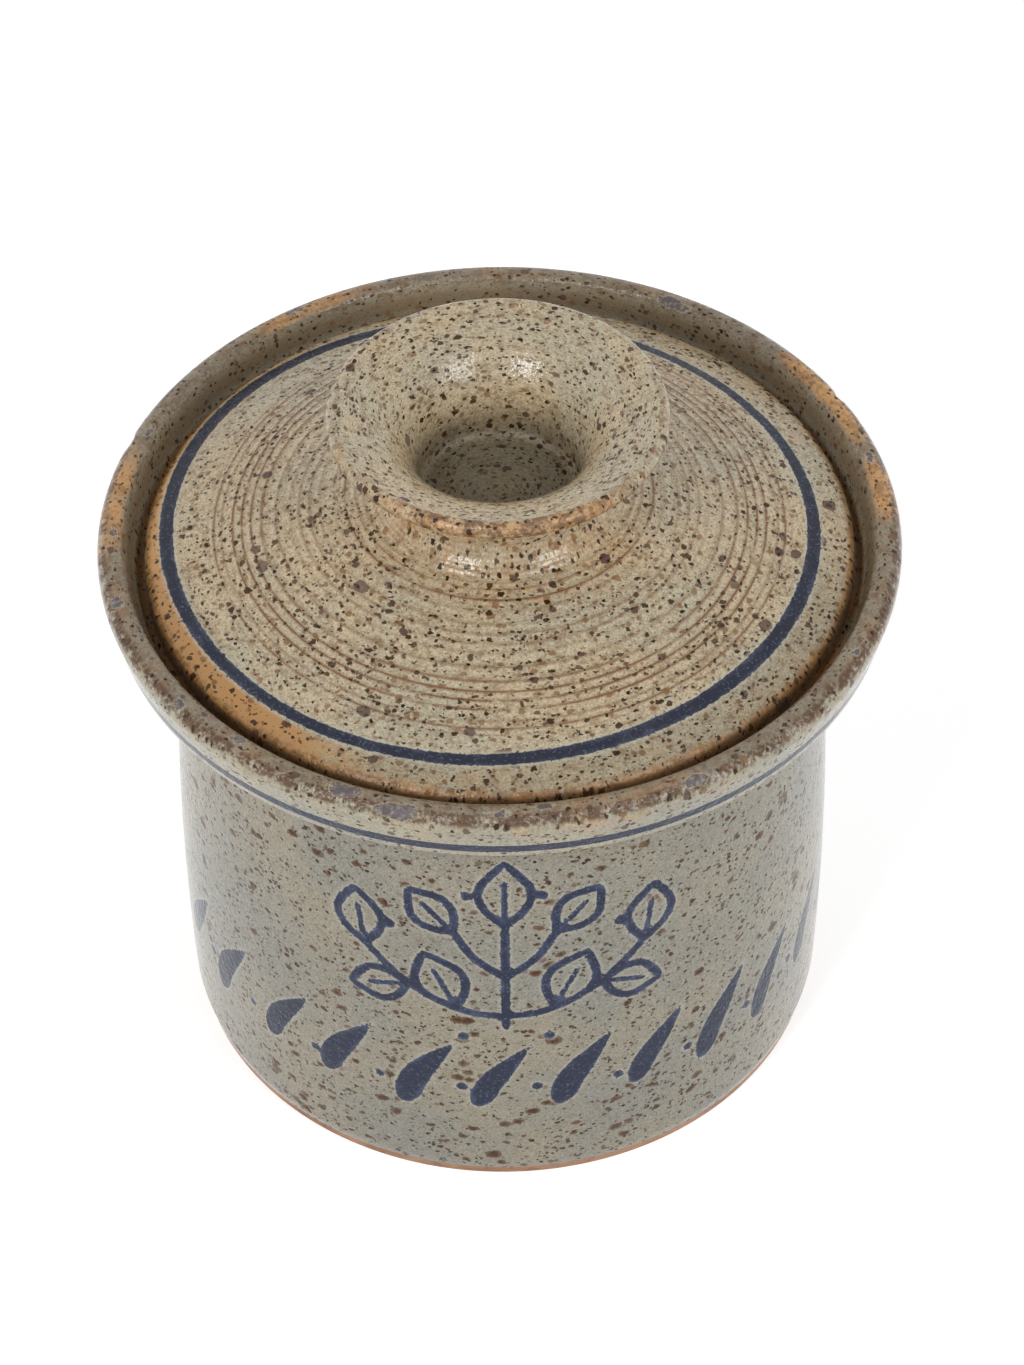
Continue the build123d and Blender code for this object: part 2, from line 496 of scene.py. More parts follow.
CROCK_GLAZE = StonewareGlaze(
    name="crock_glaze",
    grey=(142, 139, 128),
    tan=(154, 146, 127),
    mottle=(124, 110, 86),
    mottling=0.40,
    grain=0.23,
    halo_strength=0.34,
    specks=(
        Speckle((116, 84, 54), 1.8, 0.50, 0.14, 3.0, strength=0.80),
        Speckle((84, 64, 52), 3.6, 0.66, 0.10, 17.0, strength=0.90),
        Speckle((54, 33, 15), 1.15, 0.34, 0.05, 9.0),
    ),
    wall_specks=(
        Speckle((102, 69, 42), 3.4, 0.80, 0.10, 5.0, 0.95, 0.42, (1.0, 1.0, 1.4)),
        Speckle((62, 36, 16), 3.4, 0.48, 0.24, 5.0, 0.90, 0.42, (1.0, 1.0, 1.4)),
        Speckle((78, 48, 24), 1.60, 0.38, 0.06, 13.0, 1.0, 0.40, (1.0, 1.0, 1.3)),
        Speckle((36, 20, 8), 1.05, 0.28, 0.05, 21.0, squash=(1.0, 1.0, 1.2)),
    ),
    wall_top=93.0)

LID_GLAZE = StonewareGlaze(
    name="lid_glaze",
    grey=(182, 172, 148),
    tan=(194, 175, 143),
    mottle=(134, 108, 76),
    mottling=0.70,
    grain=0.26,
    iron=(104, 66, 32),
    cobalt=(43, 46, 60),
    cobalt_thin=(70, 75, 92),
    line=(118, 78, 45),
    specks=(
        Speckle((126, 90, 54), 1.7, 0.50, 0.14, 3.0, strength=0.85),
        Speckle((88, 66, 58), 4.6, 0.80, 0.10, 17.0, clumping=0.45),
        Speckle((62, 38, 14), 1.65, 0.41, 0.04, 29.0, clumping=0.3),
        Speckle((40, 22, 5), 1.12, 0.31, 0.04, 9.0),
    ))


# ---- thrown outlines ----


@dataclass(frozen=True)
class Corner:
    """A corner of a turned outline, in millimetres, and the run that leads to it."""

    radius: float
    height: float
    rounding: float = 0.0
    pitch: float = 1.0
    bow: float = 0.0
    surface: Surface = Surface.GLAZED

    def point(self) -> Vector:
        """The corner's place in the outline's plane."""
        return Vector((self.radius, self.height))


@dataclass(frozen=True)
class Row:
    """One point of an outline, which is spun into a ring of the skin."""

    radius: float
    height: float
    surface: Surface
    crest: float = 0.0


@dataclass
class Outline:
    """A turned outline: straight or bowed runs between rounded corners."""

    corners: list[Corner]
    arc_pitch: float = 0.5
    arc_turn: float = 14.0
    short_arc: float = 1.2
    short_arc_steps: int = 5

    def _tangents(self, index: int) -> tuple[Vector, Vector, Vector, float]:
        """Finds where a corner's rounding starts and ends.

        Args:
            index: The corner's number, which isn't the first or the last.

        Returns:
            The arc's start, its end, its centre, and its turn with sign, in radians.
        """
        before, here, after = self.corners[index - 1:index + 2]
        corner = here.point()
        back = (before.point() - corner).normalized()
        ahead = (after.point() - corner).normalized()
        turn = math.pi - back.angle(ahead)
        setback = here.rounding * math.tan(turn / 2)
        middle = (back + ahead).normalized()
        centre = corner + middle * math.hypot(here.rounding, setback)
        signed = math.copysign(turn, back.x * ahead.y - back.y * ahead.x)
        return corner + back * setback, corner + ahead * setback, centre, signed

    def rows(self) -> list[Row]:
        """Samples the outline.

        Returns:
            The rows, from the first corner to the last.
        """
        first = self.corners[0]
        rows = [Row(first.radius, first.height, self.corners[1].surface)]
        start = first.point()
        for index, here in enumerate(self.corners[1:], 1):
            rounded = here.rounding > 0 and index < len(self.corners) - 1
            if rounded:
                end, leave, centre, turn = self._tangents(index)
            else:
                end = leave = here.point()
            rows += self._run(start, end, here)
            if rounded:
                rows += self._arc(end, centre, turn, here)
            start = leave
        return rows

    def _run(self, start: Vector, end: Vector, here: Corner) -> list[Row]:
        """Samples a straight or bowed run.

        Args:
            start: Where the run starts.
            end: Where it ends.
            here: The corner that it leads to.

        Returns:
            The rows, without the first point.
        """
        along = end - start
        if along.length < 1e-4:
            return []
        count = max(1, math.ceil(along.length / here.pitch))
        outward = Vector((along.y, -along.x)).normalized()
        shares = (step / count for step in range(1, count + 1))
        return [Row(*(start + along * share + outward * here.bow * 4 * share * (1 - share)),
                    here.surface) for share in shares]

    def _arc(self, start: Vector, centre: Vector, turn: float, here: Corner) -> list[Row]:
        """Samples a rounded corner.

        Args:
            start: Where the rounding starts.
            centre: Its centre.
            turn: Its turn with sign, in radians.
            here: The corner.

        Returns:
            The rows, without the first point.
        """
        spoke = start - centre
        length = abs(turn) * here.rounding
        count = max(2, math.ceil(length / min(self.arc_pitch, here.pitch)),
                    math.ceil(math.degrees(abs(turn)) / self.arc_turn))
        if length < self.short_arc:
            count = min(count, self.short_arc_steps)
        turns = (Matrix.Rotation(-turn * step / count, 2) for step in range(1, count + 1))
        return [Row(*(centre + part @ spoke), here.surface) for part in turns]


@dataclass(frozen=True)
class Sector:
    """A slice of a full turn, in degrees anticlockwise from +X, and its steps."""

    start: float
    sweep: float
    steps: int


@dataclass
class Wheel:
    """Turns outlines into closed skins."""

    sectors: list[Sector]

    def throw(self, name: str, rows: list[Row]) -> bpy.types.Object:
        """Spins an outline about the Z axis.

        Args:
            name: The piece's name.
            rows: The outline's rows, from the axis back to the axis.

        Returns:
            The closed skin, with its outline values on its points.
        """
        slices = [self._slice(sector, rows) for sector in self.sectors]
        only(slices[0])
        for other in slices[1:]:
            other.select_set(True)
        if len(slices) > 1:
            bpy.ops.object.join()
        skin = bpy.context.view_layer.objects.active
        skin.name = skin.data.name = name
        bpy.ops.object.mode_set(mode="EDIT")
        bpy.ops.mesh.select_all(action="SELECT")
        bpy.ops.mesh.remove_doubles(threshold=0.002 * MM)
        bpy.ops.mesh.normals_make_consistent(inside=False)
        bpy.ops.object.mode_set(mode="OBJECT")
        bpy.ops.object.shade_smooth()
        return skin

    def _slice(self, sector: Sector, rows: list[Row]) -> bpy.types.Object:
        """Spins an outline through one sector.

        Args:
            sector: The sector.
            rows: The outline's rows.

        Returns:
            The slice of the skin.
        """
        angle = math.radians(sector.start)
        spoke = Vector((math.cos(angle), math.sin(angle), 0.0))
        points = [(spoke * row.radius + Vector((0, 0, row.height))) * MM for row in rows]
        bpy.ops.object.select_all(action="DESELECT")
        bpy.ops.mesh.primitive_plane_add(size=MM, location=points[0])
        chain = bpy.context.view_layer.objects.active
        bpy.ops.object.mode_set(mode="EDIT")
        bpy.ops.mesh.select_all(action="SELECT")
        bpy.ops.mesh.merge(type="CENTER")
        for last, point in zip(points, points[1:]):
            bpy.ops.mesh.extrude_region_move(
                TRANSFORM_OT_translate={"value": tuple(point - last)})
        bpy.ops.object.mode_set(mode="OBJECT")
        bpy.ops.object.transform_apply(location=True, rotation=True, scale=True)
        store(chain, "bare", [row.surface.value for row in rows])
        store(chain, "crest", [row.crest for row in rows])
        turn = chain.modifiers.new("turn", "SCREW")
        turn.axis = "Z"
        turn.angle = math.radians(sector.sweep)
        turn.steps = turn.render_steps = sector.steps
        turn.use_normal_calculate = True
        only(chain)
        bpy.ops.object.modifier_apply(modifier=turn.name)
        return chain


class Skin:
    """The points of a thrown piece, for values that are painted on them."""

    def __init__(self, thing: bpy.types.Object) -> None:
        """Reads the points in millimetres, with angles from the front in degrees.

        Args:
            thing: The thrown piece.
        """
        self.thing = thing
        x, self.y, self.height = self._triples("co").T / MM
        self.radius = np.hypot(x, self.y)
        self.around = np.degrees(np.arctan2(x, -self.y))
        across, behind, upward = self._triples("normal").T
        outward = (x * across + self.y * behind) / np.maximum(self.radius, 1e-6)
        self.facing = np.degrees(np.arctan2(upward, outward))

    def _triples(self, name: str) -> np.ndarray:
        """Reads the places or the normals of the points.

        Args:
            name: "co" for the places, in metres, or "normal".

        Returns:
            Three numbers for each point.
        """
        flat = np.zeros(len(self.thing.data.vertices) * 3)
        self.thing.data.vertices.foreach_get(name, flat)
        return flat.reshape(-1, 3)

    def away(self, around: float) -> np.ndarray:
        """Angle between each point and a direction around the piece, in degrees."""
        return abs(np.mod(self.around - around + 180, 360) - 180)

    def paint(self, **marks: np.ndarray | float) -> None:
        """Stores, under each name, one value for each point, or one for them all."""
        for name, values in marks.items():
            store(self.thing, name, np.broadcast_to(values, self.y.shape))


# ---- brushed cobalt ----


@dataclass(frozen=True)
class Stroke:
    """One stroke of a brush on the unrolled wall, in millimetres."""

    points: tuple[Point, ...]
    width: float = 1.8
    start: float = 0.5
    end: float = 0.3
    swell: float = 6.0
    taper: float = 5.0
    pitch: float = 0.35

    def discs(self) -> tuple[np.ndarray, np.ndarray]:
        """Follows the stroke with overlapping discs.

        Returns:
            The discs' centres and their radii.
        """
        knots = np.array(self.points, float)
        if len(knots) == 1:
            return knots, np.array([self.width / 2])
        ends = np.vstack([2 * knots[0] - knots[1], knots, 2 * knots[-1] - knots[-2]])
        pieces = []
        for a, b, c, d in zip(ends, ends[1:], ends[2:], ends[3:]):
            count = max(2, math.ceil(float(np.hypot(*(c - b))) / self.pitch))
            t = (np.arange(count) / count)[:, None]
            pieces.append(0.5 * ((2 * b) + (c - a) * t + (2 * a - 5 * b + 4 * c - d) * t ** 2
                                 + (3 * b - a - 3 * c + d) * t ** 3))
        centres = np.vstack(pieces + [knots[-1:]])
        share = np.linspace(0, 1, len(centres))
        rising, falling = self.start + share * self.swell, self.end + (1 - share) * self.taper
        press = np.minimum(1.0, np.minimum(rising, falling))
        return centres, self.width / 2 * np.sin(press * math.pi / 2)

    def mirrored(self) -> "Stroke":
        """The same stroke on the other side of the middle."""
        return replace(self, points=tuple((-u, v) for u, v in self.points))

    def raised(self, height: float) -> "Stroke":
        """The same stroke higher up the wall."""
        return replace(self, points=tuple((u, v + height) for u, v in self.points))

    def depth(self, u: np.ndarray, v: np.ndarray) -> np.ndarray:
        """How far points lie inside the stroke, or outside as a negative number.

        Args:
            u: Places around the wall.
            v: Heights.

        Returns:
            The depths, no lower than FAR.
        """
        centres, radii = self.discs()
        depth = np.full(u.shape, FAR)
        reach = self.width - FAR
        low, high = centres.min(0) - reach, centres.max(0) + reach
        near = np.flatnonzero((u > low[0]) & (u < high[0]) & (v > low[1]) & (v < high[1]))
        for point in np.array_split(near, max(1, len(near) // 20000)):
            gaps = np.hypot(u[point, None] - centres[:, 0], v[point, None] - centres[:, 1])
            depth[point] = np.maximum(FAR, (radii - gaps).max(1))
        return depth


@dataclass
class Sprig:
    """A sprig with paired leaves and berries, the same on both sides of its stem."""

    foot: float = 42.0
    line: float = 1.7

    def strokes(self) -> list[Stroke]:
        """Lays out the brush strokes, one side first, with heights above the foot.

        Returns:
            The strokes, as (place around the wall, height).
        """
        side = [
            Stroke(((0, 3), (8, 4.5), (17, 9.5), (25, 17)), self.line, 0.8, 0.5),
            Stroke(((0, 13), (5.5, 18), (9, 24)), self.line, 0.8, 0.5),
            *self.leaf((8.5, 5), (14.5, 18), 4.2),
            *self.leaf((17, 9.5), (28, 6), 3.6),
            *self.leaf((25, 17), (27, 30), 4.0),
            *self.leaf((9, 24), (17, 33), 3.6),
            Stroke(((20.5, 23.5),), 2.5),
            Stroke(((7.5, -2.5),), 2.1),
            Stroke(((6.6, 33),), 2.2),
        ]
        middle = [Stroke(((0, 0), (0, 12), (0, 26)), self.line, 0.4, 0.5),
                  *self.leaf((0, 26), (0, 41), 4.4)]
        drawn = [*middle, *side, *(stroke.mirrored() for stroke in side)]
        return [stroke.raised(self.foot) for stroke in drawn]

    def leaf(self, foot: Point, tip: Point, half_width: float) -> list[Stroke]:
        """Draws the two sides and the vein of a leaf.

        Args:
            foot: Where the leaf starts.
            tip: Where it ends.
            half_width: Half its width.

        Returns:
            Three strokes.
        """
        start, end = np.array(foot), np.array(tip)
        along = end - start
        across = np.array([-along[1], along[0]]) / np.hypot(*along) * half_width
        strokes = []
        for side in (-across, across):
            knots = (start, start + along * 0.28 + side * 0.85, start + along * 0.6 + side, end)
            strokes.append(Stroke(tuple(map(tuple, knots)), self.line, 0.6, 0.35))
        vein = (tuple(start + along * 0.12), tuple(start + along * 0.72))
        return [*strokes, Stroke(vein, self.line * 0.7, 0.5, 0.2)]


@dataclass
class LeafBorder:
    """A band of slanted brush leaves, each with a dot beside it, round the wall.

    A leaf runs from foot over middle to tip, which are places across it, as dot is.
    """

    low: float = 21.5
    high: float = 37.5
    foot: float = -4.8
    middle: float = -2.4
    tip: float = 4.4
    dot: float = 5.6
    count: int = 26
    width: float = 5.0
    unevenness: float = 0.55
    seed: int = 19

    def depth(self, u: np.ndarray, v: np.ndarray, girth: float) -> np.ndarray:
        """How far points lie inside the border's strokes.

        Args:
            u: Places around the wall, from 0 to the girth.
            v: Heights.
            girth: The wall's length around.

        Returns:
            The depths, negative outside.
        """
        luck = np.random.default_rng(self.seed)
        pitch = girth / self.count
        tall = self.high - self.low
        depth = np.full(u.shape, FAR)
        for number in range(self.count):
            near = np.mod(u - number * pitch + girth / 2, girth) - girth / 2
            slip, bend, low, high = luck.normal(0.0, self.unevenness, 4)
            leaf = Stroke(((self.foot + slip, self.low + low),
                           (self.middle + slip + 0.5 * bend, self.low + 0.40 * tall),
                           (self.tip + slip, self.high + high)),
                          self.width * float(luck.uniform(0.88, 1.08)), 0.42, 0.04, 3.4, 1.35)
            dot = Stroke(((self.dot + slip, self.low + 0.24 * tall + bend),),
                         float(luck.uniform(1.7, 2.3)))
            for stroke in (leaf, dot):
                depth = np.maximum(depth, stroke.depth(near, v))
        return depth


# ---- the pieces ----


@dataclass(frozen=True)
class Scar:
    """A patch on the rim where the glaze has come off, longer around than across."""

    around: float
    radius: float
    height: float
    half_length: float
    half_width: float

    def depth(self, skin: Skin) -> np.ndarray:
        """Measures how far a skin's points lie inside the patch.

        Args:
            skin: The skin.

        Returns:
            The depths, in millimetres, no lower than FAR.
        """
        along = np.radians(skin.away(self.around)) * self.radius / self.half_length
        across = np.hypot(skin.radius - self.radius, skin.height - self.height) / self.half_width
        return np.maximum(FAR, self.half_width * (1 - np.hypot(along, across)))


@dataclass
class Crock:
    """The pot: wall, overhanging flange, gallery and trimmed foot, in millimetres.

    Each flash is an angle from the front, its half width and its strength; each nick is
    an angle and a depth.
    """

    height: float = 107.5
    rim_radius: float = 70.0
    rim_round: float = 2.8
    rim_inside: float = 65.7
    gallery_radius: float = 62.9
    ledge_height: float = 99.2
    bore_radius: float = 51.4
    floor_height: float = 9.0
    collar_foot: float = 96.4
    collar_lean: float = 14.0
    shoulder_radius: float = 56.8
    shoulder_height: float = 91.0
    belly_bow: float = 1.19
    heel_radius: float = 58.3
    heel_height: float = 4.0
    foot_radius: float = 57.3
    ring_inside: float = 47.6
    recess_radius: float = 46.4
    recess_height: float = 2.5
    line_height: float = 99.3
    line_half_width: float = 1.05
    line_load: float = 2.6
    nick_height: float = 105.2
    nick_size: float = 2.6
    nicks: tuple[Point, ...] = ((-110.0, 0.75), (118.0, 0.9))
    flashes: tuple[Triple, ...] = (
        (119.0, 17.0, 1.15), (97.0, 10.0, 1.1), (-98.0, 17.0, 0.95), (-150.0, 15.0, 0.8),
        (20.0, 30.0, 0.35))
    scars: tuple[Scar, ...] = (
        Scar(-14.3, 68.95, 106.6, 3.4, 1.3), Scar(-22.7, 67.5, 107.2, 3.0, 1.1),
        Scar(-0.5, 68.1, 106.9, 2.2, 0.7), Scar(5.9, 67.0, 107.4, 1.2, 0.6),
        Scar(27.9, 68.6, 106.7, 1.9, 1.1), Scar(-74.7, 67.9, 107.0, 1.6, 1.0),
        Scar(-41.2, 66.9, 107.4, 1.6, 0.8), Scar(-52.3, 68.4, 106.8, 1.2, 0.7),
        Scar(-147.3, 67.7, 107.1, 1.8, 0.9), Scar(-112.0, 66.9, 107.4, 1.3, 0.7),
        Scar(151.1, 66.1, 107.3, 3.2, 1.0), Scar(-89.6, 67.1, 107.3, 1.1, 0.6),
        Scar(104.0, 67.2, 107.3, 1.5, 0.8), Scar(62.0, 68.0, 106.9, 1.0, 0.6))
    glaze: StonewareGlaze = CROCK_GLAZE

    def outline(self) -> Outline:
        """Draws the section of the pot.

        Returns:
            The outline, from the axis under the foot to the axis inside.
        """
        bare = Surface.BARE
        lean = math.tan(math.radians(self.collar_lean))
        excess = self.rim_round * (1 / math.cos(math.radians(self.collar_lean)) + lean - 1)
        top_radius = self.rim_radius + excess
        collar_radius = top_radius - (self.height - self.collar_foot) * lean
        return Outline([
            Corner(0, self.recess_height),
            Corner(self.recess_radius, self.recess_height, 1.0, 4.0, surface=bare),
            Corner(self.ring_inside, 0.0, 0.5, 1.0, surface=bare),
            Corner(self.foot_radius, 0.0, 0.4, 1.8, surface=bare),
            Corner(self.foot_radius + 0.45, 1.9, 0.0, 0.5, surface=bare),
            Corner(self.heel_radius, self.heel_height, 5.0, 0.7),
            Corner(self.shoulder_radius, self.shoulder_height, 6.0, 0.8, self.belly_bow),
            Corner(collar_radius, self.collar_foot, 2.2, 0.9),
            Corner(top_radius, self.height, self.rim_round, 0.9),
            Corner(self.rim_inside, self.height, 1.9, 0.7),
            Corner(self.gallery_radius, self.ledge_height, 1.2, 0.9),
            Corner(self.bore_radius, self.ledge_height, 1.6, 1.5, surface=bare),
            Corner(self.bore_radius, self.floor_height, 5.5, 3.0),
            Corner(0.0, self.floor_height, 0.0, 4.0),
        ])

    def build(self) -> bpy.types.Object:
        """Throws, paints and glazes the pot, with finer steps on its front.

        Returns:
            The finished piece.
        """
        wheel = Wheel([Sector(-170, 160, 214), Sector(-10, 200, 130)])
        thing = wheel.throw("crock_body", self.outline().rows())
        for around, deep in self.nicks:
            self.nick(thing, around, deep)
        self.paint(Skin(thing))
        thing.data.materials.append(self.glaze.material())
        return thing

    def nick(self, thing: bpy.types.Object, around: float, deep: float) -> None:
        """Presses a small nick into the outside of the rim.

        Args:
            thing: The thrown pot.
            around: Angle from the front, in degrees.
            deep: How far the nick goes in.
        """
        skin = Skin(thing)
        spot = np.hypot(np.radians(skin.away(around)) * self.rim_radius,
                        skin.height - self.nick_height)
        outside = (skin.radius > self.rim_radius - 1.5) & (spot < 1.0)
        only(thing)
        bpy.ops.object.mode_set(mode="EDIT")
        bpy.ops.mesh.select_mode(type="VERT")
        bpy.ops.mesh.select_all(action="DESELECT")
        bpy.ops.object.mode_set(mode="OBJECT")
        thing.data.vertices.foreach_set("select", outside)
        angle = math.radians(around)
        inward = Vector((-math.sin(angle), math.cos(angle), -0.5)) * deep * MM
        bpy.ops.object.mode_set(mode="EDIT")
        bpy.ops.transform.translate(
            value=inward, use_proportional_edit=True, proportional_edit_falloff="SHARP",
            proportional_size=self.nick_size * MM, use_proportional_connected=True)
        bpy.ops.object.mode_set(mode="OBJECT")

    def cobalt(self, skin: Skin) -> np.ndarray:
        """Brushes the sprig, the border and the collar's line on the pot.

        Args:
            skin: The pot's points.

        Returns:
            How far each point lies inside the cobalt, negative outside.
        """
        girth = 2 * math.pi * self.heel_radius
        wall = np.flatnonzero(
            (skin.radius > self.bore_radius + 1) & (abs(skin.facing) < 60)
            & (skin.height > self.heel_height) & (skin.height < self.glaze.wall_top))
        around, height = skin.around[wall] / 360 * girth, skin.height[wall]
        marks = [LeafBorder().depth(around, height, girth)]
        marks += [stroke.depth(around, height) for stroke in Sprig().strokes()]
        cobalt = np.full(skin.radius.shape, FAR)
        cobalt[wall] = np.max(marks, axis=0)
        collar = (skin.height < 102) & (skin.height > 95) & (skin.radius > 64.5)
        line = self.line_load * (self.line_half_width - abs(skin.height - self.line_height))
        return np.where(collar, np.maximum(cobalt, line), cobalt)

    def paint(self, skin: Skin) -> None:
        """Stores where cobalt, breaking edges, dark iron, flashes and scars are.

        Args:
            skin: The pot's points.
        """
        gallery = (skin.radius < 66.2) & (skin.radius > 60) & (skin.height > 99)
        top = ease(skin.height, 104.8, 106.8) * (skin.radius < 69.2)
        outer = ((skin.radius > 68.1) * ease(skin.height, 104.9, 106.1)
                 * ease(skin.height, 107.5, 107.1))
        deep = gallery * ease(skin.height, 107.4, 104.5) * ease(skin.height, 101.0, 103.0)
        rim = ease(skin.radius, 64.9, 66.4) * ease(skin.height, 101, 104)
        flash = np.maximum(0.22 * rim, 0.7 * gallery * ease(skin.height, 102.5, 100.5))
        for around, reach, strength in self.flashes:
            flash = np.maximum(flash, strength * ease(skin.away(around), reach, 0.3 * reach) * rim)
        skin.paint(
            cobalt=self.cobalt(skin),
            edge=np.maximum(0.50 * top, outer),
            iron=np.maximum(0.80 * deep, 0.55 * top),
            flash=flash,
            scar=np.max([scar.depth(skin) for scar in self.scars], axis=0),
            # no shade is painted on the pot
            painted_shade=0.0)


@dataclass
class Lid:
    """The lid: cone with throwing rings, seat and hollow knob, in millimetres.

    The cobalt band's middle and width are each a mean, then the cosine and the sine of
    one wave around the lid, of two waves, and so on.
    """

    radius: float = 62.0
    seat_height: float = 99.2
    seat_inside: float = 55.0
    step_radius: float = 53.6
    step_height: float = 101.4
    ceiling_radius: float = 28.0
    ceiling_height: float = 109.7
    edge_height: float = 104.1
    slope: float = 18.0
    neck_radius: float = 19.6
    throat_radius: float = 14.3
    bell_slope: float = 20.0
    lip_radius: float = 29.4
    lip_round: float = 1.6
    top_height: float = 134.876
    cavity_height: float = 115.8
    ring_to: float = 51.0
    ring_rise: float = 4.2
    ring_depth: float = 0.085
    neck_ring_depth: float = 0.12
    neck_ring_to: float = 26.0
    crest_width: float = 0.24
    crest_seed: int = 43
    hollow_seed: int = 7
    band_middle: tuple[float, ...] = (55.62, -0.27, -2.10, -0.73, 0.75, 0.38, -0.43)
    band_width: tuple[float, ...] = (2.32, -0.16, -0.05, -0.11, 0.31)
    glaze: StonewareGlaze = LID_GLAZE

    def cone(self, radius: float) -> float:
        """Height of the sloping top at a radius."""
        return self.edge_height + (self.radius - radius) * math.tan(math.radians(self.slope))

    def outline(self) -> Outline:
        """Draws the section of the lid.

        Returns:
            The outline, from the axis underneath to the axis in the knob.
        """
        rise = math.tan(math.radians(self.bell_slope))
        middle = self.top_height - self.lip_round
        under = middle - self.lip_round * math.tan(math.radians((90 - self.bell_slope) / 2))
        over = middle + self.lip_round * math.tan(math.radians((90 + self.bell_slope) / 2))
        waist = under - (self.lip_radius - self.neck_radius) * rise
        throat = over - (self.lip_radius - self.throat_radius) * rise
        return Outline([
            Corner(0, self.ceiling_height),
            Corner(self.ceiling_radius, self.ceiling_height, 10.0, 3.0),
            Corner(self.step_radius, self.step_height, 1.0, 2.0),
            Corner(self.seat_inside, self.seat_height, 0.5, 1.0),
            Corner(self.radius, self.seat_height, 0.8, 1.5, surface=Surface.BARE),
            Corner(self.radius, self.edge_height, 2.6, 0.7),
            Corner(self.ring_to, self.cone(self.ring_to), 0.0, 0.8),
            Corner(self.neck_radius, self.cone(self.neck_radius), 5.5, 0.29),
            Corner(self.neck_radius, waist, 5.0, 0.8),
            Corner(self.lip_radius, under, self.lip_round, 0.9),
            Corner(self.lip_radius, over, self.lip_round, 0.9),
            Corner(self.throat_radius, throat, 13.0, 0.8),
            Corner(self.throat_radius, self.cavity_height, 1.6, 0.9),
            Corner(0.0, self.cavity_height, 0.0, 1.6),
        ], arc_pitch=0.45)

    def crests(self, start: float, end: float) -> list[Point]:
        """Lays out the throwing rings, closer together where the neck begins.

        Args:
            start: Length along the outline at the outermost crest.
            end: Length at the last one, on the neck.

        Returns:
            Each crest's length along the outline, and its strength.
        """
        luck = np.random.default_rng(self.crest_seed)
        crests = []
        along = start
        while along < end:
            crests.append((along, float(luck.choice((0.35, 0.65, 1.0, 1.2)))))
            tight = 0.62 if end - along < 9.0 else 1.0
            along += tight * float(luck.uniform(1.35, 2.7))
        return crests

    def ringed(self, rows: list[Row]) -> list[Row]:
        """Presses the throwing rings into the sloping top and the foot of the neck.

        Args:
            rows: The outline's rows.

        Returns:
            The rows with their relief, and with how near each is to a crest.
        """
        points = np.array([(row.radius, row.height) for row in rows])
        steps = np.gradient(points, axis=0)
        outward = np.column_stack((steps[:, 1], -steps[:, 0]))
        outward /= np.hypot(*outward.T)[:, None]
        along = np.concatenate(([0.0], np.cumsum(np.hypot(*np.diff(points, axis=0).T))))
        outermost = (self.ring_to, self.cone(self.ring_to))
        innermost = (self.neck_radius, self.cone(self.neck_radius) + self.ring_rise)
        start, end = (along[np.hypot(*(points - place).T).argmin()]
                      for place in (outermost, innermost))
        marks, strengths = np.array(self.crests(start, end)).T
        luck = np.random.default_rng(self.hollow_seed).uniform(0.6, 1.3, len(marks))
        shaped = list(rows)
        for number in np.flatnonzero((along > marks[0]) & (along < marks[-1])):
            row, here = rows[number], along[number]
            after = int(np.searchsorted(marks, here))
            gap = marks[after] - marks[after - 1]
            share = (here - marks[after - 1]) / gap
            depth = self.ring_depth if row.radius > self.neck_ring_to else self.neck_ring_depth
            deep = depth * gap * luck[after] * (1 - (2 * share - 1) ** 2)
            radius, height = points[number] - outward[number] * deep
            near = (strengths * np.exp(-(abs(marks - here) / self.crest_width) ** 2)).max()
            faint = 1 - 0.70 * ease(radius, 28, 23)
            shaped[number] = Row(float(radius), float(height), row.surface, float(near * faint))
        return shaped

    def build(self) -> bpy.types.Object:
        """Throws, paints and glazes the lid.

        Returns:
            The finished piece.
        """
        wheel = Wheel([Sector(-180, 360, 330)])
        thing = wheel.throw("lid_and_knob", self.ringed(self.outline().rows()))
        self.paint(Skin(thing))
        thing.data.materials.append(self.glaze.material())
        return thing

    def paint(self, skin: Skin) -> None:
        """Stores where cobalt, breaking edges, iron, flashes and painted shade are.

        Args:
            skin: The lid's points.
        """
        band = (self.wave(self.band_width, skin.around) / 2
                - abs(skin.radius - self.wave(self.band_middle, skin.around)))
        top = (skin.facing > 30) & (skin.height > 103)
        outer = (skin.radius > 55) & (skin.height > 100)
        cavity = (skin.radius < 17) & (skin.height > 112)
        lip = (skin.height > 131.5) & (skin.radius > 27.6)
        neck = ease(skin.radius, 34, 25) * (skin.radius > 19) * (skin.facing < 75)
        side = outer * ease(skin.facing, 62, 35)
        front = ease(skin.y, 0, -20)
        lip_front = ease(skin.y, -17, -27)
        left = ease(skin.away(-88.0), 66.0, 40.0)
        flashed = np.maximum((0.20 + 1.15 * left) * ease(skin.radius, 56.6, 58.2),
                             (0.8 + 0.5 * left) * ease(skin.radius, 59.9, 61.2))
        dark_edge = 0.35 * outer * ease(skin.radius, 60.2, 61.4)
        skin.paint(
            cobalt=np.where(top, np.maximum(band, FAR), FAR),
            edge=((0.28 + 0.50 * lip_front) * lip
                  + 0.6 * outer * ease(skin.radius, 59.8, 61.4)),
            # the iron on the lid's side is the glaze's own all round, and deepened at the front as
            # a painted shadow of the gap beside the rim
            iron=np.maximum((0.28 + 0.55 * front) * side, dark_edge) + 0.13 * neck * front,
            flash=(outer * flashed * ease(skin.facing, 15, 45)
                   + 0.26 * neck * ease(skin.y, 5, -15) + (0.12 + 0.46 * lip_front) * lip),
            scar=FAR,
            # painted shade: the knob's hollow darker toward its floor, and the lid's outer zone
            # darker at the front
            painted_shade=cavity * ease(skin.height, 126, 117) + 0.40 * outer * front)

